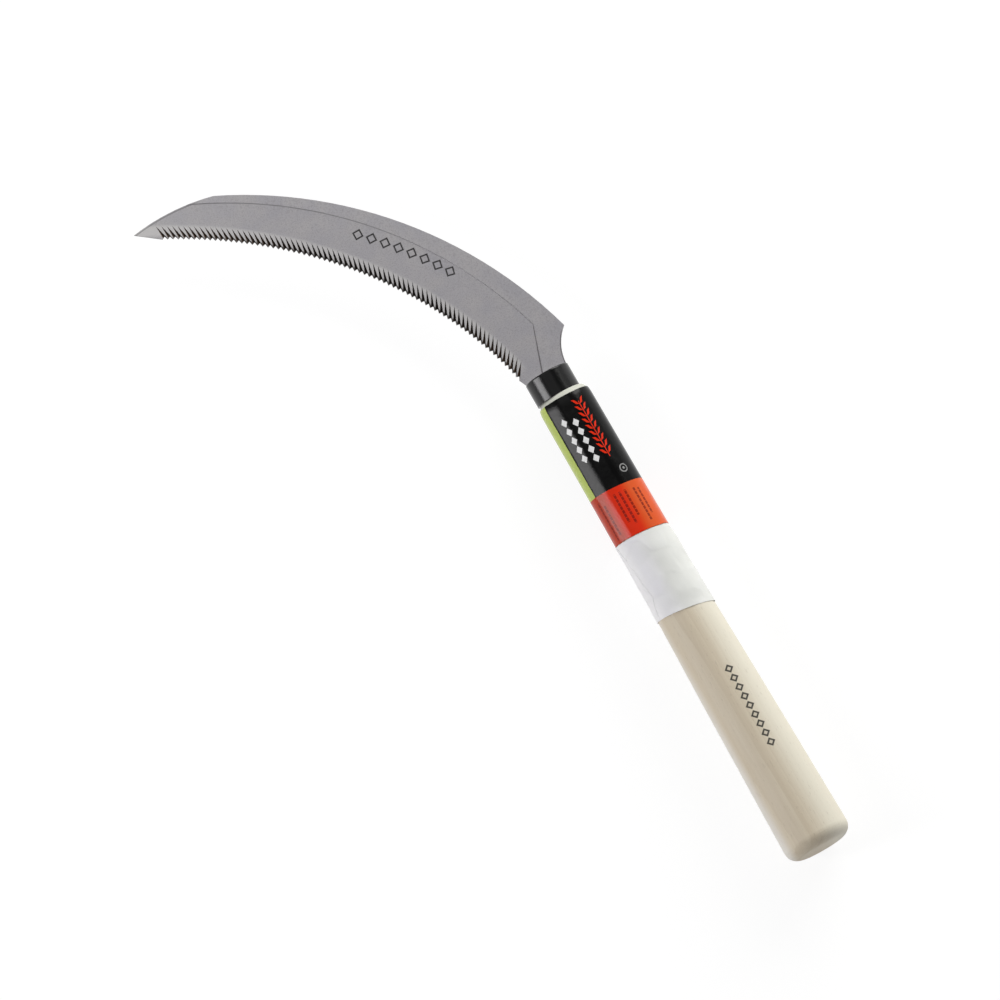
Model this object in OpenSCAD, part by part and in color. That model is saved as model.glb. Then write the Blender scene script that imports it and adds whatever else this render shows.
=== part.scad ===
// Flax sickle: a curved blade with ground saw teeth, pinned into a turned wood handle under a black ferrule.
// It lies flat. +Y runs from the butt of the handle to the blade, +X points to the spine's side, and the
// ground face of the blade looks up, to +Z. The origin is the middle of the butt.

/* [Handle] */
// Length of the wood from the butt to the shoulder under the ferrule
handle_l = 198.3; // [180:0.1:220]
// Diameter at the butt
butt_d = 26.9; // [25:0.1:30]
// Radius of the rounded edge round the butt
butt_round = 4.8; // [1:0.1:6]
// Distance from the butt to the palm
palm_y = 62; // [50:1:75]
// Diameter at the palm
palm_d = 24.5; // [23:0.1:28]
// Distance from the butt to the waist
waist_y = 128; // [110:1:140]
// Diameter at the waist
waist_d = 21.5; // [20.5:0.1:24]
// Diameter at the neck, next to the shoulder
neck_d = 20.4; // [19.6:0.1:23]
// How far the rounded shoulder comes in towards the ferrule
shoulder_in = 1.9; // [1:0.1:2]
// How far down the neck the rounding of the shoulder starts
shoulder_drop = 4.2; // [2:0.1:6]

/* [Ferrule] */
// Outer diameter of the ferrule
ferrule_d = 18; // [17.4:0.1:18.6]
// Wall of the ferrule
ferrule_wall = 1; // [0.6:0.1:1.4]
// Length of the ferrule
ferrule_l = 9.7; // [8:0.1:14]
// Radius round the outer edge of its mouth
mouth_round = 0.6; // [0.2:0.1:0.8]
// How far the ferrule sits off the handle's axis, to the cutting side
head_off = 1; // [0:0.05:1.2]
// Clearance between the spigot of the handle and the ferrule
spigot_fit = 0.05; // [0.02:0.01:0.1]
// How far the end of the spigot stays below the mouth
spigot_sink = 0.4; // [0.2:0.1:1]

/* [Blade outline] */
// Thickness of the plate
blade_t = 1.6; // [1.2:0.1:2.2]
// How far the blade and its tang lean from the handle's axis, to the cutting side
blade_lean = 2.3; // [0:0.1:3]
// Width of the blade's neck where it rests on the ferrule
neck_w = 17.2; // [16:0.1:18]
// Reach of the heel corner from the middle of the mouth
heel_out = 15.6; // [14:0.1:18]
// Height of the heel corner above the mouth
heel_up = 12.3; // [10:0.1:15]
// Radius of the hollow between the heel corner and the neck
hollow_r = 18; // [15:0.5:24]
// Radius of the spine
spine_r = 173.4; // [160:0.1:190]
// Direction of the spine's radius at the heel corner
spine_start = 13.2; // [10:0.1:17]
// Length of the spine from the heel corner to the tip corner
spine_l = 145.9; // [130:0.1:160]
// Radius of the short curved edge from the tip corner to the point
tip_r = 83.5; // [60:0.5:120]
// How far the point lies past the tip corner, along the spine's circle
point_reach = 33; // [30:0.5:36]
// How far the point lies inside the spine's circle
point_drop = 10; // [8.5:0.1:11]
// Width of the blade at the last tooth, by the heel
width_heel = 26.7; // [24:0.1:29]
// Width a third of the way up the row of teeth
width_low = 24.7; // [22.5:0.1:27]
// Width two thirds of the way up the row of teeth
width_high = 20.8; // [19:0.1:23]
// Width at the first tooth, by the point
width_tip = 13.8; // [13:0.1:15]

/* [Ground face] */
// Width of the flat that is left along the spine at the heel
flat_heel = 7.8; // [6:0.1:10]
// Width of that flat at the tip corner
flat_tip = 2.5; // [2:0.1:4]
// Depth of the step where the ground face starts
ground_step = 0.14; // [0.08:0.02:0.3]
// Width of the sloped side of that step
step_w = 0.35; // [0.2:0.05:0.6]
// Slope of the ground face towards the teeth
ground_slope = 0.6; // [0.2:0.1:1]
// How far the foot of the ground face lies from the middle of the mouth, to the cutting side
ground_foot = 1.1; // [0:0.1:3]
// Lean of the ground face's edge at the heel
ground_lean = 20.8; // [16:0.2:25]
// Radius of the turn where that edge meets the arc along the spine
ground_turn = 9; // [5:0.5:12]

/* [Teeth] */
// Distance from one tooth to the next along the edge
tooth_pitch = 2; // [1.8:0.05:2.4]
// How far before the heel corner the row starts, along the spine's circle
row_back = 3.4; // [2.8:0.1:4]
// How far past the tip corner the row runs, along the spine's circle
row_reach = 22.4; // [20:0.1:24]
// Depth of the notch between two teeth
notch_depth = 1.1; // [0.8:0.05:1.4]
// How far the bottom of a notch lies from the tooth above it, along the edge
notch_lean = 0.75; // [0.4:0.05:1]
// Depth of the ground groove at its notch
groove_depth = 0.8; // [0.6:0.05:1]
// Length of the first groove, by the heel, from its notch to where it runs out
groove_heel_l = 5.5; // [4:0.1:6.5]
// Length of the last groove, by the point
groove_tip_l = 4.7; // [4:0.1:6.5]
// Slant of the groove from square to the edge
groove_slant = 39; // [34:1:46]
// Slope of the groove's wide side from upright
groove_wide = 46; // [40:1:50]
// Slope of the groove's steep side from upright
groove_steep = 27; // [20:1:35]

/* [Tang] */
// Length of the tang below the mouth
tang_l = 70; // [50:1:85]
// Width of the tang at the mouth
tang_w = 12; // [10:0.1:13]
// Width of the tang at its end
tang_end_w = 8; // [6:0.1:9]
// Clearance between the tang and its slot in the wood
tang_fit = 0.1; // [0.05:0.01:0.2]
// Diameter of the pin through the wood and the tang
pin_d = 3.5; // [2.5:0.1:4.5]
// Distance of the pin below the mouth
pin_down = 46; // [36:1:48]
// Clearance round the pin
pin_fit = 0.05; // [0.02:0.01:0.1]
// How far each end of the pin stays below the surface of the wood
pin_sink = 0.4; // [0.2:0.1:1]

/* [Label and paper] */
// Bare wood between the shoulder and the label
label_down = 1.4; // [1.2:0.1:4]
// Length of the label along the handle
label_l = 60.3; // [50:0.1:66]
// Thickness of the label
label_t = 0.3; // [0.2:0.05:0.5]
// Lean of the label's upper edge
label_top_skew = 1.5; // [0:0.5:4]
// Lean of the label's lower edge
label_skew = 4; // [0:0.5:6]
// Length of the paper band below the label
paper_l = 33.5; // [25:0.5:40]
// Thickness of the paper band
paper_t = 0.25; // [0.2:0.05:0.5]
// Lean of the paper band's lower edge
paper_skew = 8; // [0:0.5:10]
// Clearance between the wood and what is wrapped round it
wrap_fit = 0.04; // [0.02:0.01:0.1]
// Gap between the label and the paper band
wrap_gap = 0.15; // [0.1:0.05:0.5]

/* [Hidden] */
$fn = 96;

past = 1;                       // how far a cut runs past what it cuts
far = 40;                       // and where it only has to reach beyond the blade
nudge = 0.1;                    // degrees to each side when a direction is taken along the teeth
arc_steps = 8;
tip_steps = 12;
profile_steps = 44;
wide_fn = 360;                  // facets of the blade's wide arcs

// Wood: distances from the butt and radii, joined by one smooth curve
stations = [[0, butt_d / 2], [palm_y, palm_d / 2], [waist_y, waist_d / 2], [handle_l, neck_d / 2]];
shoulder_y = handle_l - shoulder_drop;
label_top = handle_l - label_down;
label_end = label_top - label_l;
paper_end = label_end - paper_l;
spigot_r = ferrule_d / 2 - ferrule_wall - spigot_fit;

// Blade: everything below is in its own frame, with the middle of the ferrule's mouth at the origin
heel = [heel_out, heel_up];
spine_c = heel - spine_r * unit(spine_start);
spine_end = spine_start + degrees(spine_l);
tip_corner = spine_c + spine_r * unit(spine_end);
point = spine_c + (spine_r - point_drop) * unit(spine_end + degrees(point_reach));
tip_c = arc_centre(point, tip_corner, tip_r);
hollow_c = arc_centre(on_rim(neck_w / 2), heel, hollow_r);
row_start = spine_start - degrees(row_back);
row_end = spine_end + degrees(row_reach);
tooth_angles = [for (a = row_start; a <= row_end; a = a + tooth_step(a)) a];
tips = [for (a = tooth_angles) edge_point(a)];

// Ground face: an arc that leaves the spine's flat, and a line that leaves the heel's
ground_r = spine_r - (flat_heel + flat_tip) / 2;
ground_half = (spine_end - spine_start) / 2;
ground_c = spine_c + (flat_heel - flat_tip) / 2 / sin(ground_half) * unit((spine_start + spine_end) / 2 + 90);
ground_dir = unit(90 - ground_lean);
ground_left = unit(180 - ground_lean);
turn_c = inner_fillet([-ground_foot, 0], ground_dir, ground_left, ground_c, ground_r, ground_turn);
step_spread = blade_t / 2 * step_w / ground_step;    // how far the step's slope runs over half the plate

function unit(a) = [cos(a), sin(a)];
function degrees(l) = l / spine_r * 180 / PI;
function along(v) = v / norm(v);
function right_of(v) = [v.y, -v.x];

// The point of the ferrule's rim at the reach x, in the frame of the leaning blade
function on_rim(x) = [x, -x * tan(blade_lean)];

// Centre of the arc of radius r from a to b that has its centre on the right of that way
function arc_centre(a, b, r) =
    (a + b) / 2 + sqrt(r * r - pow(norm(b - a) / 2, 2)) * right_of(along(b - a));

// Centre of the circle of radius f that touches, from inside, the circle (c, r) and the line from p along d
function inner_fillet(p, d, side, c, r, f) =
    let (q = p + f * side - c, m = q * d)
    p + f * side + (sqrt(m * m - q * q + pow(r - f, 2)) - m) * d;

// The short curved edge from the point to the tip corner, and on past it by one more step
function bearing(v) = atan2(v.y, v.x);
function tip_edge() =
    let (from = bearing(point - tip_c), turn = (bearing(tip_corner - tip_c) - from) / (tip_steps - 1))
    [for (i = [0:tip_steps]) tip_c + tip_r * unit(from + i * turn)];

// Width of the blade at the angle a: the cubic through the four named widths
function edge_width(a) =
    let (t = (a - spine_start) / (row_end - spine_start) * 3)
    - width_heel * (t - 1) * (t - 2) * (t - 3) / 6
    + width_low * t * (t - 2) * (t - 3) / 2
    - width_high * t * (t - 1) * (t - 3) / 2
    + width_tip * t * (t - 1) * (t - 2) / 6;
function edge_point(a) = spine_c + (spine_r - edge_width(a)) * unit(a);
function edge_move(a) = edge_point(a + nudge) - edge_point(a - nudge);
function edge_way(a) = along(edge_move(a));
function tooth_step(a) = tooth_pitch * 2 * nudge / norm(edge_move(a));

// Bottom of the notch on the handle's side of the tooth at the angle a
function notch(a) = edge_point(a) - notch_lean * edge_way(a) + notch_depth * right_of(edge_way(a));

// Height of the ground face above the middle of the plate
function ground_z(p) = blade_t / 2 - ground_step
    - (ground_r - step_w - norm(p - ground_c)) * tan(ground_slope);

// Radius of the wood at the distance y from the butt: a cubic between stations, with level slopes between them
function slope(i) =
    let (n = len(stations) - 1, lo = stations[max(i - 1, 0)], hi = stations[min(i + 1, n)])
    (hi[1] - lo[1]) / (hi[0] - lo[0]);
function span(y) = y <= stations[1][0] ? 0 : y <= stations[2][0] ? 1 : 2;
function curve_r(y) =
    let (i = span(y), a = stations[i], b = stations[i + 1], l = b[0] - a[0], t = (y - a[0]) / l)
    a[1] * (2 * t * t * t - 3 * t * t + 1) + slope(i) * l * (t * t * t - 2 * t * t + t)
    + b[1] * (3 * t * t - 2 * t * t * t) + slope(i + 1) * l * (t * t * t - t * t);
function shoulder_r(y) = shoulder_in * (1 - sqrt(max(0, 1 - pow((y - shoulder_y) / shoulder_drop, 2))));
function wood_r(y) = curve_r(y) - (y > shoulder_y ? shoulder_r(y) : 0);

// Distances from y0 to y1, in equal steps
function steps(y0, y1, n) = [for (i = [0:n]) y0 + (y1 - y0) * i / n];

// The shoulder is cut finer towards its end, where it turns fastest
function shoulder_ys(y0, y1) =
    let (a0 = asin((y0 - shoulder_y) / shoulder_drop), a1 = asin((y1 - shoulder_y) / shoulder_drop))
    [for (a = steps(a0, a1, arc_steps)) shoulder_y + shoulder_drop * sin(a)];

// Turns a profile of [radius, distance] round the handle's axis
module turned(profile) {
    rotate([-90, 0, 0]) rotate_extrude() polygon(profile);
}

// Puts a piece on the ferrule's mouth
module at_mouth() {
    translate([-head_off, handle_l + ferrule_l, 0]) children();
}

// The same for what leans with the blade
module at_blade() {
    at_mouth() rotate([0, 0, blade_lean]) children();
}

module handle() {
    edge = [for (a = steps(0, 90, arc_steps))
        [curve_r(butt_round) - butt_round * (1 - sin(a)), butt_round * (1 - cos(a))]];
    side = [for (y = steps(butt_round, shoulder_y, profile_steps)) [wood_r(y), y]];
    shoulder = [for (y = shoulder_ys(shoulder_y, handle_l)) [wood_r(y), y]];
    color("wheat") difference() {
        union() {
            turned(concat([[0, 0]], edge, [for (i = [1:len(side) - 1]) side[i]],
                [for (i = [1:len(shoulder) - 1]) shoulder[i]], [[0, handle_l]]));
            at_mouth() rotate([90, 0, 0]) translate([0, 0, spigot_sink])
                cylinder(r = spigot_r, h = ferrule_l - spigot_sink + past);
        }
        at_blade() tang_slot();
        at_blade() pin_body(pin_d / 2 + pin_fit, butt_d);
    }
}

module ferrule() {
    r = ferrule_d / 2;
    rim = [for (a = steps(0, 90, arc_steps))
        [r - mouth_round * (1 - cos(a)), ferrule_l - mouth_round * (1 - sin(a))]];
    color("black") at_mouth() translate([0, -ferrule_l, 0])
        turned(concat([[r - ferrule_wall, 0], [r, 0]], rim, [[r - ferrule_wall, ferrule_l]]));
}

// The slot for the tang, with room round it
module tang_slot() {
    end = [tang_end_w / 2 + tang_fit, -tang_l - tang_fit];
    mouth = [tang_w / 2 + tang_fit, past];
    height = blade_t + 2 * tang_fit;
    translate([0, 0, -height / 2]) linear_extrude(height)
        polygon([[-mouth.x, mouth.y], [-end.x, end.y], end, mouth]);
}

module pin_body(r, l) {
    translate([0, -pin_down, 0]) cylinder(r = r, h = l, center = true);
}

// The plate with its saw-toothed edge and its tang
module plate() {
    row = [for (i = [1:len(tips) - 1]) each [notch(tooth_angles[i]), tips[i]]];
    outline = concat([[-tang_end_w / 2, -tang_l], on_rim(-tang_w / 2), on_rim(-neck_w / 2), tips[0]], row,
        tip_edge(), [for (a = steps(spine_end, spine_start, 2)) spine_c + (spine_r + far) * unit(a)],
        [on_rim(heel_out + far), on_rim(tang_w / 2), [tang_end_w / 2, -tang_l]]);
    difference() {
        intersection() {
            translate([0, 0, -blade_t / 2]) linear_extrude(blade_t) polygon(outline);
            translate(spine_c) cylinder(r = spine_r, h = 2 * blade_t, center = true, $fn = wide_fn);
        }
        translate(hollow_c) cylinder(r = hollow_r, h = 2 * blade_t, center = true);
    }
}

// The ground face: a cone so flat that it only just slopes, kept to the cutting side of its edge at the heel
module ground_cut() {
    top = blade_t / 2;
    inner = ground_r - 2 * width_heel;
    translate(ground_c) rotate_extrude($fn = wide_fn)
        polygon([[inner, top + past], [inner, ground_z(ground_c + [inner, 0])],
            [ground_r - step_w, top - ground_step], [ground_r, top], [ground_r, top + past]]);
}

// The side of the line's sloped step, which ends just inside the mouth, so the tang keeps its full thickness
module ground_side() {
    intersection() {
        translate([-ground_foot, 0, 0]) rotate([90, 0, -ground_lean]) linear_extrude(2 * spine_r, center = true)
            polygon([[-step_spread, 0], [step_spread, blade_t], [-spine_r, blade_t], [-spine_r, 0]]);
        translate([-spine_r, -spigot_sink, 0]) cube([2 * spine_r, 2 * spine_r, blade_t]);
    }
}

// What the turn at the heel leaves standing: the corner between the line and the arc, outside the turn's cone
module turn_keep() {
    out = along(turn_c - ground_c);
    reach = 2 * ground_turn;
    difference() {
        linear_extrude(blade_t) polygon([turn_c, turn_c - reach * ground_left, turn_c + reach * out]);
        translate(turn_c) cylinder(r1 = ground_turn - step_spread, r2 = ground_turn + step_spread, h = blade_t);
    }
}

// The groove at the tooth i: a V that starts deep at its notch and rises until it runs out of the ground face
module groove(i) {
    p = notch(tooth_angles[i]);
    l = groove_heel_l + (groove_tip_l - groove_heel_l) * i / (len(tips) - 1);
    heading = bearing(edge_way(tooth_angles[i])) + groove_slant - 180;
    translate([p.x, p.y, ground_z(p) - groove_depth]) rotate([0, 0, heading]) rotate([atan(groove_depth / l), 0, 0])
        rotate([90, 0, 0]) translate([0, 0, -l - past]) linear_extrude(l + 2 * past + notch_depth)
            polygon([[0, 0], blade_t * [tan(groove_steep), 1], blade_t * [-tan(groove_wide), 1]]);
}

module blade() {
    color("silver") at_blade() difference() {
        plate();
        difference() {
            intersection() {
                ground_cut();
                ground_side();
            }
            turn_keep();
        }
        for (i = [1:len(tips) - 1]) groove(i);
        pin_body(pin_d / 2 + pin_fit, 2 * blade_t);
    }
}

module tang_pin() {
    color("dimgray") at_blade()
        pin_body(pin_d / 2, 2 * (wood_r(handle_l + ferrule_l - pin_down) - pin_sink));
}

// A sleeve on the wood from y0 to y1, with its lower and upper ends cut at the angles low and high
module sleeve(y0, y1, t, low, high) {
    bottom = y0 - butt_d / 2 * tan(low) - past;
    top = min(y1 + butt_d / 2 * tan(high) + past, handle_l);
    ys = concat(steps(bottom, min(top, shoulder_y), arc_steps),
        top > shoulder_y ? [for (y = shoulder_ys(shoulder_y, top)) if (y > shoulder_y) y] : []);
    inside = [for (y = ys) [wood_r(y) + wrap_fit, y]];
    outside = [for (i = [len(ys) - 1:-1:0]) [wood_r(ys[i]) + wrap_fit + t, ys[i]]];
    difference() {
        turned(concat(inside, outside));
        translate([0, y0, 0]) rotate([0, 0, -low]) translate([-butt_d, -butt_d, -butt_d])
            cube([2 * butt_d, butt_d, 2 * butt_d]);
        translate([0, y1, 0]) rotate([0, 0, -high]) translate([-butt_d, 0, -butt_d])
            cube([2 * butt_d, butt_d, 2 * butt_d]);
    }
}

module label() {
    color("darkorange") sleeve(label_end, label_top, label_t, label_skew, label_top_skew);
}

module paper_band() {
    color("white") sleeve(paper_end, label_end - wrap_gap, paper_t, paper_skew, label_skew);
}

handle();
ferrule();
blade();
tang_pin();
label();
paper_band();
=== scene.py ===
# Flax sickle: the looks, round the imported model
import math
import bpy
from mathutils import Matrix, Vector


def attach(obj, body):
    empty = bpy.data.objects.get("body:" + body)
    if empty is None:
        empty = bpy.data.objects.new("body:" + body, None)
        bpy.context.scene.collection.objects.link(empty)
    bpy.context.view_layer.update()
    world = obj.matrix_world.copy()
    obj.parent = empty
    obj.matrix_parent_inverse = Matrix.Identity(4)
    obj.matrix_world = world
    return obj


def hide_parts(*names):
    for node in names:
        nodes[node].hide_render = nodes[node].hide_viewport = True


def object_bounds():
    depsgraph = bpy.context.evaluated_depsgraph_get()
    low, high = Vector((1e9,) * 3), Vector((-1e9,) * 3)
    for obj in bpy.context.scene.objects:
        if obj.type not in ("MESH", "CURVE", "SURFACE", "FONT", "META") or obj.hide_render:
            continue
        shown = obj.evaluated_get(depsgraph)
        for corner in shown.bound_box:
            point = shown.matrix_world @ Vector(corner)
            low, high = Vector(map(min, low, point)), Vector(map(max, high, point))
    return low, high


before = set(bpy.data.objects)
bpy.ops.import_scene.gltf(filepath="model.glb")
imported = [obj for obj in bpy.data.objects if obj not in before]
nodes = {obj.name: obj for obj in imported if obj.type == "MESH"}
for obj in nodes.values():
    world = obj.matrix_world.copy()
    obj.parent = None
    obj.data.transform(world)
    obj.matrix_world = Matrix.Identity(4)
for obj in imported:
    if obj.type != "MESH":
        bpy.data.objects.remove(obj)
cadLow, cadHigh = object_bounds()
mm = 0.001
print("frame loaded,", len(nodes), "nodes")


# Shader maths: a Flow is one output of a node, and sums on it add Math nodes
class Flow:
    def __init__(self, paint, socket):
        self.paint = paint
        self.socket = socket

    def maths(self, operation, *others, **settings):
        return self.paint.node("Math", {"operation": operation, **settings}, dict(enumerate((self, *others))))

    def __add__(self, other):
        return self.maths("ADD", other)

    def __sub__(self, other):
        return self.maths("SUBTRACT", other)

    def __rsub__(self, other):
        return self.paint.node("Math", {"operation": "SUBTRACT"}, {0: other, 1: self})

    def __mul__(self, other):
        return self.maths("MULTIPLY", other)

    def __truediv__(self, other):
        return self.maths("DIVIDE", other)

    def __pow__(self, other):
        return self.maths("POWER", other)

    __radd__ = __add__
    __rmul__ = __mul__

    def unsigned(self):
        return self.maths("ABSOLUTE")

    def clamped(self, times=1.0):    # that many times itself, kept between 0 and 1
        return self.maths("MULTIPLY", times, use_clamp=True)

    def above(self, edge, soft):    # 0 below the edge and 1 above it, over a soft stretch
        return self.paint.node("MapRange", {"interpolation_type": "SMOOTHSTEP"},
                               {"Value": self, "From Min": edge - soft / 2, "From Max": edge + soft / 2})

    def below(self, edge, soft):
        return 1 - self.above(edge, soft)

    def between(self, low, high, soft):
        return self.above(low, soft) * self.below(high, soft)

    def offMiddle(self, start, pitch):    # how far it is from the middle of its cell, in a row of equal cells
        return (((self - start) / pitch).maths("FRACT") - 0.5).unsigned() * pitch


# A Paint is one material; constants go straight onto the shader's sockets
class Paint:
    def __init__(self, name, tree=None, **constants):
        if tree is None:
            self.material = bpy.data.materials.new(name)
            self.material.use_nodes = True
            tree = self.material.node_tree
        self.tree = tree
        self.shader = tree.nodes.get("Principled BSDF")
        for socket, value in constants.items():
            self.shader.inputs[socket.replace("_", " ")].default_value = value

    def node(self, kind, settings=None, sockets=None, out=0):
        new = self.tree.nodes.new("ShaderNode" + kind)
        for key, value in (settings or {}).items():
            if key == "stops":
                ramp = new.color_ramp.elements
                while len(ramp) < len(value):
                    ramp.new(0.5)
                for element, (place, colour) in zip(ramp, value):
                    element.position = place
                    element.color = colour
            else:
                setattr(new, key, value)
        for key, value in (sockets or {}).items():
            if isinstance(value, Flow):
                self.tree.links.new(value.socket, new.inputs[key])
            else:
                new.inputs[key].default_value = value
        return Flow(self, new.outputs[out])

    def feed(self, **sockets):
        for name, flow in sockets.items():
            self.tree.links.new(flow.socket, self.shader.inputs[name.replace("_", " ")])

    def place(self, scale=(1, 1, 1), turn=(0, 0, 0), shift=(0, 0, 0)):    # object coordinates, in millimetres
        where = self.node("TexCoord", out="Object")
        millimetres = self.node("VectorMath", {"operation": "SCALE"}, {0: where, "Scale": 1000.0})
        return self.node("Mapping", None, {"Vector": millimetres, "Scale": scale, "Rotation": turn,
                                           "Location": shift})

    def split(self, vector):
        parts = self.tree.nodes.new("ShaderNodeSeparateXYZ")
        self.tree.links.new(vector.socket, parts.inputs[0])
        return [Flow(self, output) for output in parts.outputs]

    def circle(self, centre):    # x and y from the centre of an upright cylinder, and the distance from its axis
        x, y, z = self.split(self.place(shift=(-centre[0], -centre[1], 0)))
        return x, y, (x * x + y * y) ** 0.5

    def blotches(self, where, size, detail=3.0, rough=0.5):    # noise, with blotches of that size in millimetres
        return self.node("TexNoise", None, {"Vector": where, "Scale": 1 / size, "Detail": detail,
                                            "Roughness": rough}, out="Fac")

    def mix(self, factor, first, second):
        return self.node("Mix", {"data_type": "RGBA"}, {0: factor, 6: first, 7: second}, out=2)

    def bump(self, height, depth, before=None):    # depth in millimetres for a height of 1
        sockets = {"Height": height, "Distance": depth * mm, "Strength": 1.0}
        if before is not None:
            sockets["Normal"] = before
        return self.node("Bump", None, sockets)


def tint(red, green, blue):    # a colour as a screen shows it, 0 to 255, for a shader
    def straight(c):
        c = c / 255
        return c / 12.92 if c <= 0.04045 else ((c + 0.055) / 1.055) ** 2.4
    return straight(red), straight(green), straight(blue), 1.0


# Camera: a long lens from above, leaning a little from the butt's side
view = {"target": (-39.7 * mm, 175.35 * mm, 0), "width": 376.5 * mm, "distance": 12, "lean": 8, "turn": 29.9,
        "sensor": 36, "clip": (0.1, 80)}


def makeCamera():
    lens = bpy.data.cameras.new("camera")
    lens.sensor_width = view["sensor"]
    lens.lens = view["sensor"] * view["distance"] / view["width"]
    lens.clip_start, lens.clip_end = view["clip"]
    camera = bpy.data.objects.new("camera", lens)
    bpy.context.scene.collection.objects.link(camera)
    lean, turn = math.radians(view["lean"]), math.radians(view["turn"])
    back = Vector((0, -math.sin(lean), math.cos(lean)))
    flatY = Vector((0, math.cos(lean), math.sin(lean)))
    right = Vector((math.cos(turn), 0, 0)) - math.sin(turn) * flatY
    up = back.cross(right)
    camera.matrix_world = Matrix.Translation(Vector(view["target"]) + view["distance"] * back) @ \
        Matrix((right, up, back)).transposed().to_4x4()
    bpy.context.scene.camera = camera


makeCamera()
print("camera placed")

# Studio: boxes of light to the left, to the right and over the point, a pale horizon and a dark ceiling
lamps = {    # azimuth from +X and height above the floor in degrees, sizes in metres, a glow of 1 is white
    "leftStrip": {"azimuth": 170, "height": 33, "far": 1.3, "across": 0.8, "along": 0.28, "glow": 10,
                  "tint": (1, 0.99, 1)},
    "rightBox": {"azimuth": 40, "height": 20, "far": 1.5, "across": 0.9, "along": 1.2, "glow": 6.3,
                 "tint": (1, 1, 0.97)},
    "headBox": {"azimuth": 90, "height": 66, "far": 1.6, "across": 0.8, "along": 1.4, "glow": 0.82,
                "tint": (1, 1, 1)},
}
sky = {"horizon": (0.56, 0.56, 0.56, 1), "ceiling": (0.08, 0.08, 0.085, 1), "from": 0.2, "to": 0.75}
ground = {"size": 12, "gap": 0.02 * mm, "colour": (0.93, 0.93, 0.93, 1), "glow": 1.1, "glowing": 0.8}


def makeLamp(name, facts):
    light = bpy.data.lights.new(name, "AREA")
    light.shape = "RECTANGLE"
    light.size, light.size_y = facts["across"], facts["along"]
    light.energy = facts["glow"] * math.pi * facts["across"] * facts["along"]    # in watts
    light.color = facts["tint"]
    lamp = bpy.data.objects.new(name, light)
    bpy.context.scene.collection.objects.link(lamp)
    turn = Matrix.Rotation(math.radians(facts["azimuth"]), 4, "Z") @ \
        Matrix.Rotation(math.radians(90 - facts["height"]), 4, "Y")
    lamp.matrix_world = Matrix.Translation(view["target"]) @ turn @ Matrix.Translation((0, 0, facts["far"]))


def makeWorld():
    world = bpy.data.worlds.new("studio")
    bpy.context.scene.world = world
    world.use_nodes = True
    paint = Paint("studio", tree=world.node_tree)
    height = paint.split(paint.node("TexCoord", out="Generated"))[2]
    ramp = paint.node("ValToRGB", {"stops": [(sky["from"], sky["horizon"]), (sky["to"], sky["ceiling"])]},
                      {"Fac": height})
    world.node_tree.links.new(ramp.socket, world.node_tree.nodes["Background"].inputs["Color"])


def makeFloor():    # it glows for the camera and in reflections, and still takes the object's shadow
    bpy.ops.object.select_all(action="DESELECT")
    bpy.ops.mesh.primitive_plane_add(size=ground["size"], location=(0, 0, cadLow.z - ground["gap"]))
    floor = bpy.context.object
    floor.name = "floor"
    paint = Paint("floor", Roughness=1.0, Specular_IOR_Level=0.0, Base_Color=ground["colour"])
    seen = paint.node("LightPath", out="Is Camera Ray")
    for rays in ("Is Glossy Ray", "Is Transmission Ray"):
        seen = seen.maths("MAXIMUM", paint.node("LightPath", out=rays))
    glow = paint.node("Emission", None, {"Color": (1, 1, 1, 1), "Strength": ground["glow"]})
    both = paint.node("MixShader", None, {0: seen * ground["glowing"], 1: Flow(paint, paint.shader.outputs[0]),
                                          2: glow})
    paint.tree.links.new(both.socket, paint.tree.nodes["Material Output"].inputs[0])
    floor.data.materials.append(paint.material)


for lampName, lampFacts in lamps.items():
    makeLamp(lampName, lampFacts)
makeWorld()
makeFloor()
bpy.context.scene.view_settings.view_transform = "Standard"
print("studio made")

# Wraps: each is a tube drawn onto the wood and opened at its seam, in the middle of a column of faces. The end
# that lies on top is lifted, and one of the two ends runs on, over the other or under it.
# low and high are the rims, each with its place along the handle and its lean. around and rows count the faces.
# seam is where the tube opens, blend the stretch over which the end rises, and by how far an end runs on,
# all in degrees round the handle. way is 1 where the lifted end comes from the lower bearings, or -1
tube = {"radius": 12, "spare": 8, "smooth": 35}    # what both start from: wider and longer than the wrap
wraps = {
    "label": {"node": "label", "slot": "label_print", "low": (136.7, 4), "high": (196.9, 1.5),
              "thick": 0.3, "around": 144, "rows": 40, "seam": -48.75, "way": -1, "blend": 16,
              "runsOn": "under", "by": 5, "lift": 0.34, "trims": []},
    "paperBand": {"node": "paper_band", "slot": "wrap_paper", "low": (103.1, 8), "high": (136.45, 4),
                  "thick": 0.12, "around": 180, "rows": 34, "seam": -79, "way": 1, "blend": 18,
                  "runsOn": "over", "by": 48, "lift": 0.12, "crease": {"size": 9, "height": 0.8, "level": 0.48},
                  "trims": [{"at": (-9.2, 123, 0), "facing": (1, 0.1, 0)},
                            {"at": (-8.3, 114, 0), "facing": (1, -0.06, 0)},
                            {"at": (-8.2, 114, 0), "facing": (1, -0.24, 0)}]},
}


def select(piece, kind, test):    # picks edges or faces by a test on their corners' places and numbers
    mesh = piece.data
    bpy.ops.object.mode_set(mode="EDIT")
    bpy.ops.mesh.select_mode(type=kind)
    bpy.ops.mesh.select_all(action="DESELECT")
    bpy.ops.object.mode_set(mode="OBJECT")
    parts = mesh.edges if kind == "EDGE" else mesh.polygons
    for part in parts:
        numbers = list(part.vertices)
        part.select = test([mesh.vertices[i].co for i in numbers], numbers)
    bpy.ops.object.mode_set(mode="EDIT")


def bearing(point):    # degrees round the handle: 0 on top, positive to the spine's side
    return math.degrees(math.atan2(point.x, point.z))


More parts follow.
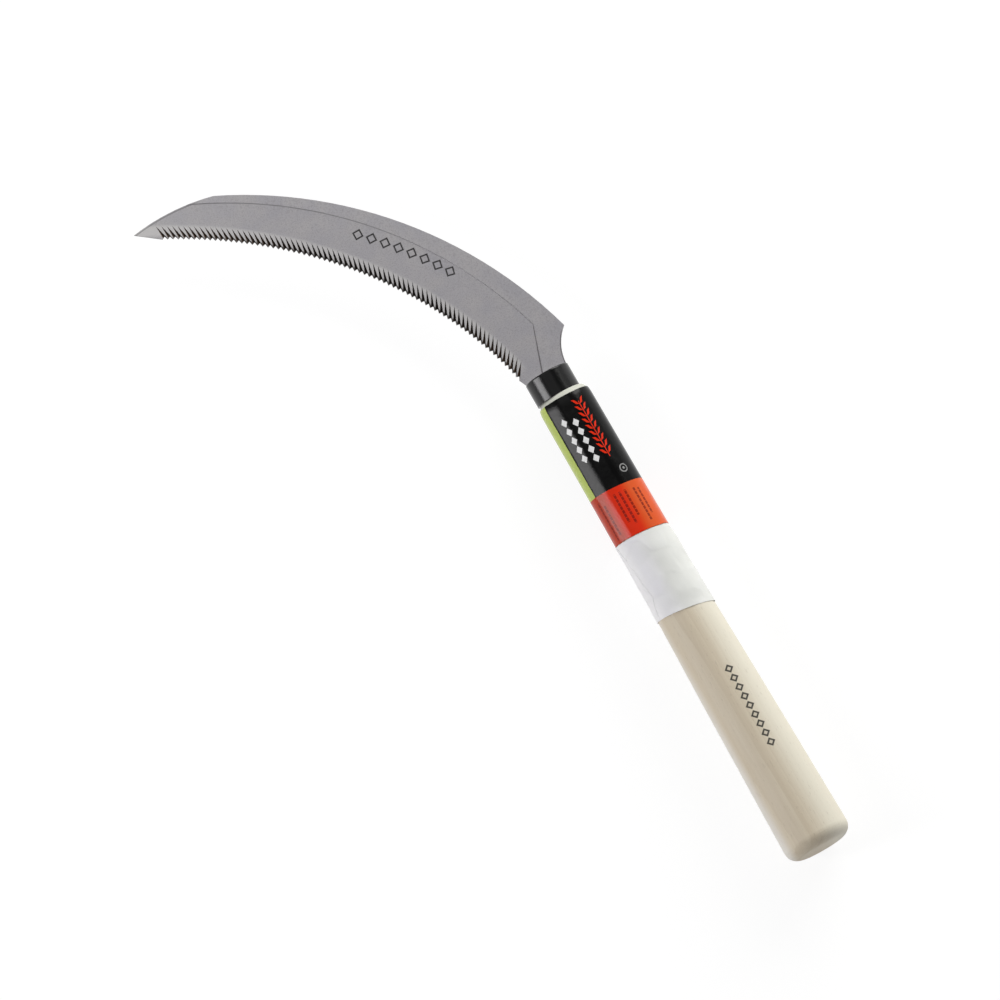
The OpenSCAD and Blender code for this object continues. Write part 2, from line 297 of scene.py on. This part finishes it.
def lapSeam(piece, facts):    # opens the seam by one column, lifts one end of the sheet and turns one end on
    seam, way, half = facts["seam"], facts["way"], 180 / facts["around"]    # half a column, in degrees
    select(piece, "FACE", lambda at, n: abs(bearing(sum(at, Vector())) - seam) < half)
    bpy.ops.mesh.delete(type="FACE")
    bpy.ops.object.mode_set(mode="OBJECT")
    for vertex in piece.data.vertices:
        back = (seam - bearing(vertex.co)) * way
        if 0 < back < facts["blend"]:
            t = 1 - back / facts["blend"]
            grow = 1 + facts["lift"] * mm * t * t * (3 - 2 * t) / vertex.co.xz.length
            vertex.co.x *= grow
            vertex.co.z *= grow
    count = len(piece.data.vertices)
    side = way if facts["runsOn"] == "over" else -way
    select(piece, "EDGE", lambda at, n: all(0 < (seam - bearing(p)) * side < 2 * half for p in at)
           and abs(at[0].y - at[1].y) > 0.1 * mm)
    bpy.ops.mesh.spin(steps=round(facts["by"] / 2 / half), angle=-math.radians(facts["by"]) * side,
                      center=(0, 0, 0), axis=(0, 1, 0))
    for trim in facts["trims"]:    # only the faces that the spin has added
        select(piece, "FACE", lambda at, n: max(n) >= count)
        bpy.ops.mesh.bisect(plane_co=[c * mm for c in trim["at"]], plane_no=trim["facing"], clear_outer=True)
    bpy.ops.object.mode_set(mode="OBJECT")


def makeWrap(name, facts):
    low, high = facts["low"], facts["high"]
    bpy.ops.object.select_all(action="DESELECT")
    bpy.ops.mesh.primitive_cylinder_add(vertices=facts["around"], radius=tube["radius"] * mm,
                                        depth=(high[0] - low[0] + tube["spare"]) * mm, end_fill_type="NOTHING",
                                        location=(0, (low[0] + high[0]) / 2 * mm, 0),
                                        rotation=(math.radians(90), 0, 0))
    piece = bpy.context.object
    piece.name = name
    bpy.ops.object.transform_apply(location=True, rotation=True, scale=True)
    select(piece, "EDGE", lambda at, n: abs(at[0].y - at[1].y) > mm)    # the edges along the handle
    bpy.ops.mesh.subdivide(number_cuts=facts["rows"])
    for (y, skew), side in ((low, -1), (high, 1)):    # cuts the rims
        bpy.ops.mesh.select_all(action="SELECT")
        lean = math.radians(skew)
        bpy.ops.mesh.bisect(plane_co=(0, y * mm, 0), clear_outer=True,
                            plane_no=(side * math.sin(lean), side * math.cos(lean), 0))
    bpy.ops.object.mode_set(mode="OBJECT")
    hug = piece.modifiers.new("hug", "SHRINKWRAP")
    hug.target = nodes[facts["node"]]
    bpy.ops.object.modifier_apply(modifier="hug")
    lapSeam(piece, facts)
    if "crease" in facts:
        clouds = bpy.data.textures.new(name, "CLOUDS")
        clouds.noise_scale = facts["crease"]["size"] * mm
        crease = piece.modifiers.new("crease", "DISPLACE")
        crease.texture = clouds
        crease.mid_level = facts["crease"]["level"]
        crease.strength = facts["crease"]["height"] * mm
        bpy.ops.object.modifier_apply(modifier="crease")
    wall = piece.modifiers.new("wall", "SOLIDIFY")
    wall.thickness = facts["thick"] * mm
    wall.offset = -1
    bpy.ops.object.modifier_apply(modifier="wall")
    bpy.ops.object.shade_smooth_by_angle(angle=math.radians(tube["smooth"]))
    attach(piece, "root")
    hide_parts(facts["node"])
    return piece


label = makeWrap("label_sheet", wraps["label"])
paperBand = makeWrap("paper_sheet", wraps["paperBand"])
print("wraps made")

# Materials: sizes and places are in millimetres. A Share is how much of a colour is mixed in at the most, a Depth
# is the height of a bump, and a Gloss is how far the roughness varies

# Steel: satin, with a painted highlight: a pale band behind the teeth, paler at the end of the row and at the
# point.
# How far up a face of the blade looks, 1 for a level one, says which it is: the step, a wide or a steep flank of a
# groove, or the cut edge of the plate. The step, the flanks and the cut edge are painted dark as painted shade, the
# flanks near the point brown as a painted reflection
steel = {
    "colour": (199, 197, 202), "warm": (208, 205, 206), "cloud": 9, "roughness": 0.42,
    "grain": (172, 168, 172), "grainFrom": (0.6182, 0.4545), "speck": 0.5,
    "scratch": 1.5, "stretch": (1, 6, 1), "scratchTurn": -35, "scratchDepth": 0.004, "scratchGloss": 0.16,
    "paintedHighlight": (240, 238, 236), "band": (1.2, 5.2), "highlightBandShare": 0.6, "endHighlightShare": 0.25,
    "point": 72.6, "pointHighlightShare": 0.8,
    "step": (0.86, 0.97), "line": (98, 96, 98), "fineShadeLine": (196, 194, 196),
    "wide": (0.6, 0.8), "wideFlankShade": (42, 37, 34), "brownFlankReflection": (84, 66, 54), "darkOver": (0.12, 0.74, 0.3),
    "steep": (0.3, 0.6), "steepFlankShade": (66, 60, 55), "darkUpTo": (0.88, 0.2), "darkShare": 0.95,
    "cut": 0.3, "side": (44, 42, 42),
    "rim": (0.3, 0.8), "rimFrom": 66, "rimShare": 0.45,
    "hollowShadeRim": 0.4, "hollowAcross": (-20, 0), "hollowAlong": (-1, 12), "hollowShadeShare": 0.55,
}
blade = {    # its circles: the spine, the short curved edge by the point, and the hollow by the heel
    "spine": (-152.98, 174.57), "spineRadius": 173.4, "tip": (-98.0, 249.44), "tipRadius": 83.5,
    "hollow": (25.58, 207.06), "hollowRadius": 18,
    "row": (15.5, 71.1), "widths": (26.7, 24.7, 20.8, 13.8),    # the row of teeth, and the width along it
}
etched = {"reach": 164, "from": 30.5, "marks": 8, "pitch": 5.4, "half": 2.3, "stroke": 0.85, "ink": (30, 27, 28)}


def bladePlaces(paint):    # bearing and reach from the spine's centre, share of the row, depth behind the teeth
    x, y, reach = paint.circle(blade["spine"])
    angle = y.maths("ARCTAN2", x) * (180 / math.pi)
    start, end = blade["row"]
    up = (angle - start) / (end - start)
    a, b, c, d = blade["widths"]    # the blade's width: a cubic through four places
    t = up * 3
    width = (t * (b - a) + t * (t - 1) * ((c - 2 * b + a) / 2)
             + t * (t - 1) * (t - 2) * ((d - 3 * c + 3 * b - a) / 6) + a)
    return angle, reach, up, reach - blade["spineRadius"] + width


def etchedRow(angle, reach):    # open lozenges along an arc
    along = (angle * (math.pi / 180)) * etched["reach"]
    cell = along.offMiddle(math.radians(etched["from"]) * etched["reach"], etched["pitch"])
    lozenge = cell + (reach - etched["reach"]).unsigned()
    end = etched["from"] + math.degrees(etched["marks"] * etched["pitch"] / etched["reach"])
    return lozenge.between(etched["half"] - etched["stroke"], etched["half"], 0.1) \
        * angle.between(etched["from"], end, 0.02)


def paintSteel():
    paint = Paint("satinSteel")
    facing = paint.split(paint.node("NewGeometry", out="True Normal"))[2]
    front = facing.above(0, 0.1)    # the back stays plain
    clouds = paint.blotches(paint.place(), steel["cloud"], 4)
    specks = paint.blotches(paint.place(), steel["speck"], 3, 0.7)
    brushed = paint.place(scale=steel["stretch"], turn=(0, 0, math.radians(steel["scratchTurn"])))
    scratches = paint.blotches(brushed, steel["scratch"], 5, 0.7)
    angle, reach, up, depth = bladePlaces(paint)
    inside = blade["tipRadius"] - paint.circle(blade["tip"])[2]    # from the short curved edge
    x, y, fromHollow = paint.circle(blade["hollow"])
    behind = fromHollow - blade["hollowRadius"]

    colour = paint.mix(clouds.above(0.5, 0.5), tint(*steel["colour"]), tint(*steel["warm"]))
    colour = paint.mix(specks.above(*steel["grainFrom"]), colour, tint(*steel["grain"]))
    # Painted highlight: the band behind the teeth, the end of the row and the point are painted paler
    paintedHighlight = depth.between(*steel["band"], 1.5) * up.above(0, 0.04) * steel["highlightBandShare"]
    paintedHighlight = paintedHighlight + up.above(0.95, 0.5) * steel["endHighlightShare"]
    paintedHighlight = paintedHighlight.maths("MAXIMUM", angle.above(steel["point"], 1.6) * steel["pointHighlightShare"])
    colour = paint.mix(paintedHighlight * front, colour, tint(*steel["paintedHighlight"]))

    # Painted shade: dark lines just inside the short curved edge by the point and along the hollow by the heel
    rim = inside.between(*steel["rim"], 0.15) * angle.above(steel["rimFrom"], 2) * steel["rimShare"]
    colour = paint.mix(rim, colour, tint(*steel["line"]))
    rim = behind.below(steel["hollowShadeRim"], 0.3) * y.between(*steel["hollowAlong"], 3)
    rim = rim * x.between(*steel["hollowAcross"], 0.5)
    colour = paint.mix(rim * steel["hollowShadeShare"], colour, tint(*steel["side"]))
    # Painted shade: the tips of the teeth are painted dark
    shadedTips = depth.below(steel["band"][0], 1) * up.above(0, 0.02) * up.below(*steel["darkUpTo"])
    colour = paint.mix(shadedTips * front * steel["darkShare"], colour, tint(*steel["steepFlankShade"]))

    # Painted shade: a dark line on the step, fading towards the point, and the plate's cut edges painted dark
    line = paint.mix(up.clamped(1.2), tint(*steel["line"]), tint(*steel["fineShadeLine"]))    # fades towards the point
    colour = paint.mix(facing.between(*steel["step"], 0.02), colour, line)
    colour = paint.mix(facing.unsigned().above(steel["cut"], 0.02), tint(*steel["side"]), colour)
    # Painted shade: the flanks of the grooves are painted dark, brown towards the point as a painted reflection
    wide, steep = facing.between(*steel["wide"], 0.02), facing.between(*steel["steep"], 0.02)
    flankShade = paint.mix(up.between(*steel["darkOver"]), tint(*steel["brownFlankReflection"]), tint(*steel["wideFlankShade"]))
    colour = paint.mix(steep, paint.mix(wide, colour, flankShade), tint(*steel["steepFlankShade"]))
    ink = etchedRow(angle, reach) * facing.above(0.98, 0.01)
    colour = paint.mix(ink * (0.8 + specks * 0.3), colour, tint(*etched["ink"]))

    paint.feed(Base_Color=colour, Metallic=1 - (wide * 0.6 + steep * 0.5 + ink * 0.8),    # grooves and ink are dull
               Roughness=steel["roughness"] + (scratches - 0.5) * steel["scratchGloss"],
               Normal=paint.bump(scratches, steel["scratchDepth"]))
    return paint


# Wood: pale and close-grained, with rings round a heart outside the stick, and a stamped row on the grip.
# The right side and the left edge are painted paler as painted light; for each, a place across the handle and the
# stretch over which the tone changes
wood = {"pale": (228, 217, 195), "deep": (203, 187, 162), "roughness": 0.55,
        "paintedLitSide": (234, 229, 213), "paintedLitSideFrom": (4.5, 11), "paintedLitSideShare": 0.85,
        "paintedLeftLight": (238, 235, 229), "paintedLeftLightUpTo": (-11, 4), "paintedLeftLightShare": 0.8,
        "shoulder": (198, 199, 188), "shoulderFrom": 194,
        "ring": 2.6, "heart": (38, 0, -30), "waver": 2.2, "band": 3.5, "fine": 0.4,
        "fibre": 0.45, "stretch": (1, 0.03, 1), "fibreDepth": 0.02, "fibreGloss": 0.2,
        "pore": (150, 134, 112), "poreSize": 0.3, "poreStretch": (1, 0.12, 1), "poreShare": 0.25}
stamp = {"x": 3.3, "from": 41, "to": 77, "pitch": 4, "half": 1.8, "stroke": 0.95, "ink": (48, 45, 38)}


def stampedRow(x, y, z):    # open lozenges along the grip, on its upper side
    lozenge = y.offMiddle(stamp["from"], stamp["pitch"]) + (x - stamp["x"]).unsigned()
    ink = lozenge.below(stamp["half"], 0.25) - lozenge.below(stamp["half"] - stamp["stroke"], 0.25) * 0.9
    return ink * y.between(stamp["from"], stamp["to"], 0.1) * z.above(0, 0.1)


def paintWood():
    paint = Paint("paleWood")
    straight = paint.place(scale=wood["stretch"])
    fibres = paint.blotches(straight, wood["fibre"], 4, 0.6)
    bands = paint.blotches(straight, wood["band"], 3)
    pores = paint.blotches(paint.place(scale=wood["poreStretch"]), wood["poreSize"], 2, 0.5)
    fine = paint.blotches(paint.place(), wood["fine"], 3, 0.6)
    x, y, z = paint.split(paint.place(shift=[-c for c in wood["heart"]]))
    rings = (((x * x + z * z) ** 0.5 + bands * wood["waver"]) / wood["ring"]).maths("FRACT")
    tone = rings * 0.25 + bands * 0.55 + fibres * 0.45 + fine * 0.3 - 0.3
    colour = paint.mix(tone.clamped(), tint(*wood["pale"]), tint(*wood["deep"]))

    x, y, z = paint.split(paint.place())
    # Painted light: the right side and the left edge of the handle are painted paler
    colour = paint.mix(x.above(*wood["paintedLitSideFrom"]) * wood["paintedLitSideShare"], colour, tint(*wood["paintedLitSide"]))
    colour = paint.mix(x.below(*wood["paintedLeftLightUpTo"]) * wood["paintedLeftLightShare"], colour, tint(*wood["paintedLeftLight"]))
    colour = paint.mix(pores.above(0.68, 0.06) * wood["poreShare"], colour, tint(*wood["pore"]))
    colour = paint.mix(y.above(wood["shoulderFrom"], 1), colour, tint(*wood["shoulder"]))
    colour = paint.mix(stampedRow(x, y, z) * (0.75 + fine * 0.4), colour, tint(*stamp["ink"]))
    paint.feed(Base_Color=colour, Roughness=wood["roughness"] + (fibres - 0.5) * wood["fibreGloss"],
               Normal=paint.bump(fibres, wood["fibreDepth"]))
    return paint


# Ferrule: black gloss with a slight haze
ferrule = {"black": (4, 4, 4), "hazy": (8, 8, 8), "haze": 2.5, "roughness": 0.2, "hazeGloss": 0.06, "index": 1.44}


def paintBlackGloss():
    paint = Paint("blackGloss", IOR=ferrule["index"])
    haze = paint.blotches(paint.place(), ferrule["haze"], 4)
    paint.feed(Base_Color=paint.mix(haze, tint(*ferrule["black"]), tint(*ferrule["hazy"])),
               Roughness=ferrule["roughness"] + haze * ferrule["hazeGloss"])
    return paint


# Printed sheet: fields by the bearing round the handle and the distance along it, ornaments in rows
printed = {"black": (9, 9, 9), "hazy": (13, 13, 13), "orange": (228, 50, 23), "white": (238, 238, 238),
           "dull": (188, 58, 29), "dullUpTo": (-5, 3), "warm": (224, 92, 44), "paintedLightFrom": (3.2, 4.5),
           "green": (188, 204, 108), "greenBetween": (-104, -47.6), "border": 156.4, "borderSkew": 4,
           "radius": 10.7, "roughness": 0.21, "index": 1.25,
           "haze": 4, "hazeDepth": 0.12, "hazeGloss": 0.08, "fine": 0.5, "fineGloss": 0.05}
dashes = {"ink": (112, 30, 24), "share": 0.75, "pitch": 1.6, "halfLength": 0.672, "halfWidth": 0.45,
          "rows": ((-9.6, 138, 154), (-7.2, 139, 152), (-1.6, 142, 154), (0.6, 140.5, 154), (2.8, 143, 154),
                   (6.4, 139.5, 153.5), (8.4, 142, 153))}    # place round the handle, first and last along it
ear = {"stem": 4.6, "stemHalf": 0.1786, "foot": 167.5, "leaves": 9, "pitch": 2.7, "lean": 1.1, "out": 1.35,
       "halfLength": 1.2, "halfWidth": 0.85}
lozenges = {"rows": ((-0.4, 167.5), (-4.6, 169.5)), "count": 5, "pitch": 3.9, "halfLength": 1.75, "halfWidth": 1.35}
ring = {"colour": (150, 150, 150), "at": (7.2, 161.5), "inner": 1.3, "outer": 1.75, "dot": 0.5}


def printedDashes(around, along):
    total = None
    for place, first, last in dashes["rows"]:
        dash = (dashes["halfLength"] - along.offMiddle(0, dashes["pitch"])).above(0, 0.16)
        dash = dash * (dashes["halfWidth"] - (around - place).unsigned()).above(0, 0.15)
        dash = dash * along.between(first, last, 0.1)
        total = dash if total is None else total + dash
    return total


def printedEar(around, y):    # an ear of grain: leaves on both sides of a stem
    off = (around - ear["stem"]).unsigned()
    rise = y - off * ear["lean"]
    leaf = 1 - rise.offMiddle(ear["foot"], ear["pitch"]) / ear["halfWidth"]
    leaf = leaf - ((off - ear["out"]) / ear["halfLength"]).unsigned()
    stem = (ear["stemHalf"] - off) * 1.4
    end = ear["foot"] + ear["leaves"] * ear["pitch"]
    return leaf.maths("MAXIMUM", stem).above(0, 0.12) * rise.between(ear["foot"], end, 0.135)


def printedLozenges(around, y):
    total = None
    for place, start in lozenges["rows"]:
        lozenge = 1 - y.offMiddle(start, lozenges["pitch"]) / lozenges["halfLength"]
        lozenge = lozenge - (around - place).unsigned() / lozenges["halfWidth"]
        end = start + lozenges["count"] * lozenges["pitch"]
        row = lozenge.above(0, 0.1) * y.between(start, end, 0.1)
        total = row if total is None else total + row
    return total


def printedRing(around, y):    # a ring with a dot in it
    far = ((around - ring["at"][0]) ** 2 + (y - ring["at"][1]) ** 2) ** 0.5
    return far.between(ring["inner"], ring["outer"], 0.2) + far.below(ring["dot"], 0.2)


def paintPrint():
    paint = Paint("printedFilm", IOR=printed["index"])
    haze = paint.blotches(paint.place(), printed["haze"], 4)
    fine = paint.blotches(paint.place(), printed["fine"], 3)
    x, y, z = paint.split(paint.place())
    turn = x.maths("ARCTAN2", z) * (180 / math.pi)
    around = turn * (printed["radius"] * math.pi / 180)
    along = y + x * math.tan(math.radians(printed["borderSkew"]))

    orange = paint.mix(x.above(*printed["dullUpTo"]), tint(*printed["dull"]), tint(*printed["orange"]))
    # Painted light: the orange is painted lighter towards the right side
    orange = paint.mix(x.above(*printed["paintedLightFrom"]), orange, tint(*printed["warm"]))
    orange = paint.mix(printedDashes(around, along) * dashes["share"], orange, tint(*dashes["ink"]))

    black = paint.mix(haze, tint(*printed["black"]), tint(*printed["hazy"]))
    black = paint.mix(printedEar(around, y), black, tint(*printed["orange"]))
    black = paint.mix(printedLozenges(around, y), black, tint(*printed["white"]))
    black = paint.mix(printedRing(around, y), black, tint(*ring["colour"]))
    black = paint.mix(turn.between(*printed["greenBetween"], 0.3), black, tint(*printed["green"]))

    gloss = (haze - 0.5) * printed["hazeGloss"] + (fine - 0.5) * printed["fineGloss"]
    paint.feed(Base_Color=paint.mix(along.above(printed["border"], 0.12), orange, black),
               Roughness=printed["roughness"] + gloss, Normal=paint.bump(haze, printed["hazeDepth"]))
    return paint


# Paper: a thin white sheet with soft patches, painted paler and bluish on the left and warmer on the right as
# painted light and shade, the patches as painted crease shading, and a painted highlight along the left edge
paper = {"warm": (233, 234, 230), "paintedCoolLight": (251, 250, 254), "paintedCoolLightUpTo": (-1, 9), "edge": (253, 252, 253),
         "edgeUpTo": (-7.8, 4), "roughness": 0.8, "patch": 8, "patchShare": 0.6, "patchDepth": 0.25,
         "fibre": (214, 214, 214), "fibreSize": 0.35, "stretch": (1, 0.5, 1), "fibreShare": 0.25,
         "fibreDepth": 0.02}


def paintPaper():
    paint = Paint("whitePaper", Roughness=paper["roughness"])
    patches = paint.node("TexVoronoi", {"feature": "SMOOTH_F1"},
                         {"Vector": paint.place(), "Scale": 1 / paper["patch"], "Smoothness": 0.35}, out="Color")
    patch = paint.split(patches)[0]
    fibres = paint.blotches(paint.place(scale=paper["stretch"]), paper["fibreSize"], 4, 0.65)
    x, y, z = paint.split(paint.place())
    # Painted light and shade: paler and bluish to the left, warmer to the right, broken up by the soft patches
    paintedCoolLight = patch * paper["patchShare"] + 0.7 - x.above(*paper["paintedCoolLightUpTo"])
    colour = paint.mix(paintedCoolLight.clamped(), tint(*paper["warm"]), tint(*paper["paintedCoolLight"]))
    # Painted highlight: a paler strip along the left edge
    colour = paint.mix(x.above(*paper["edgeUpTo"]), tint(*paper["edge"]), colour)
    paint.feed(Base_Color=paint.mix(fibres * paper["fibreShare"], colour, tint(*paper["fibre"])),
               Normal=paint.bump(patch, paper["patchDepth"], paint.bump(fibres, paper["fibreDepth"])))
    return paint


def dress(piece, paint):
    piece.data.materials.clear()
    piece.data.materials.append(paint.material)


dress(nodes["blade"], paintSteel())
dress(nodes["handle"], paintWood())
dress(nodes["ferrule"], paintBlackGloss())
dress(nodes["tang_pin"], paintSteel())
dress(label, paintPrint())
dress(paperBand, paintPaper())
print("materials made")
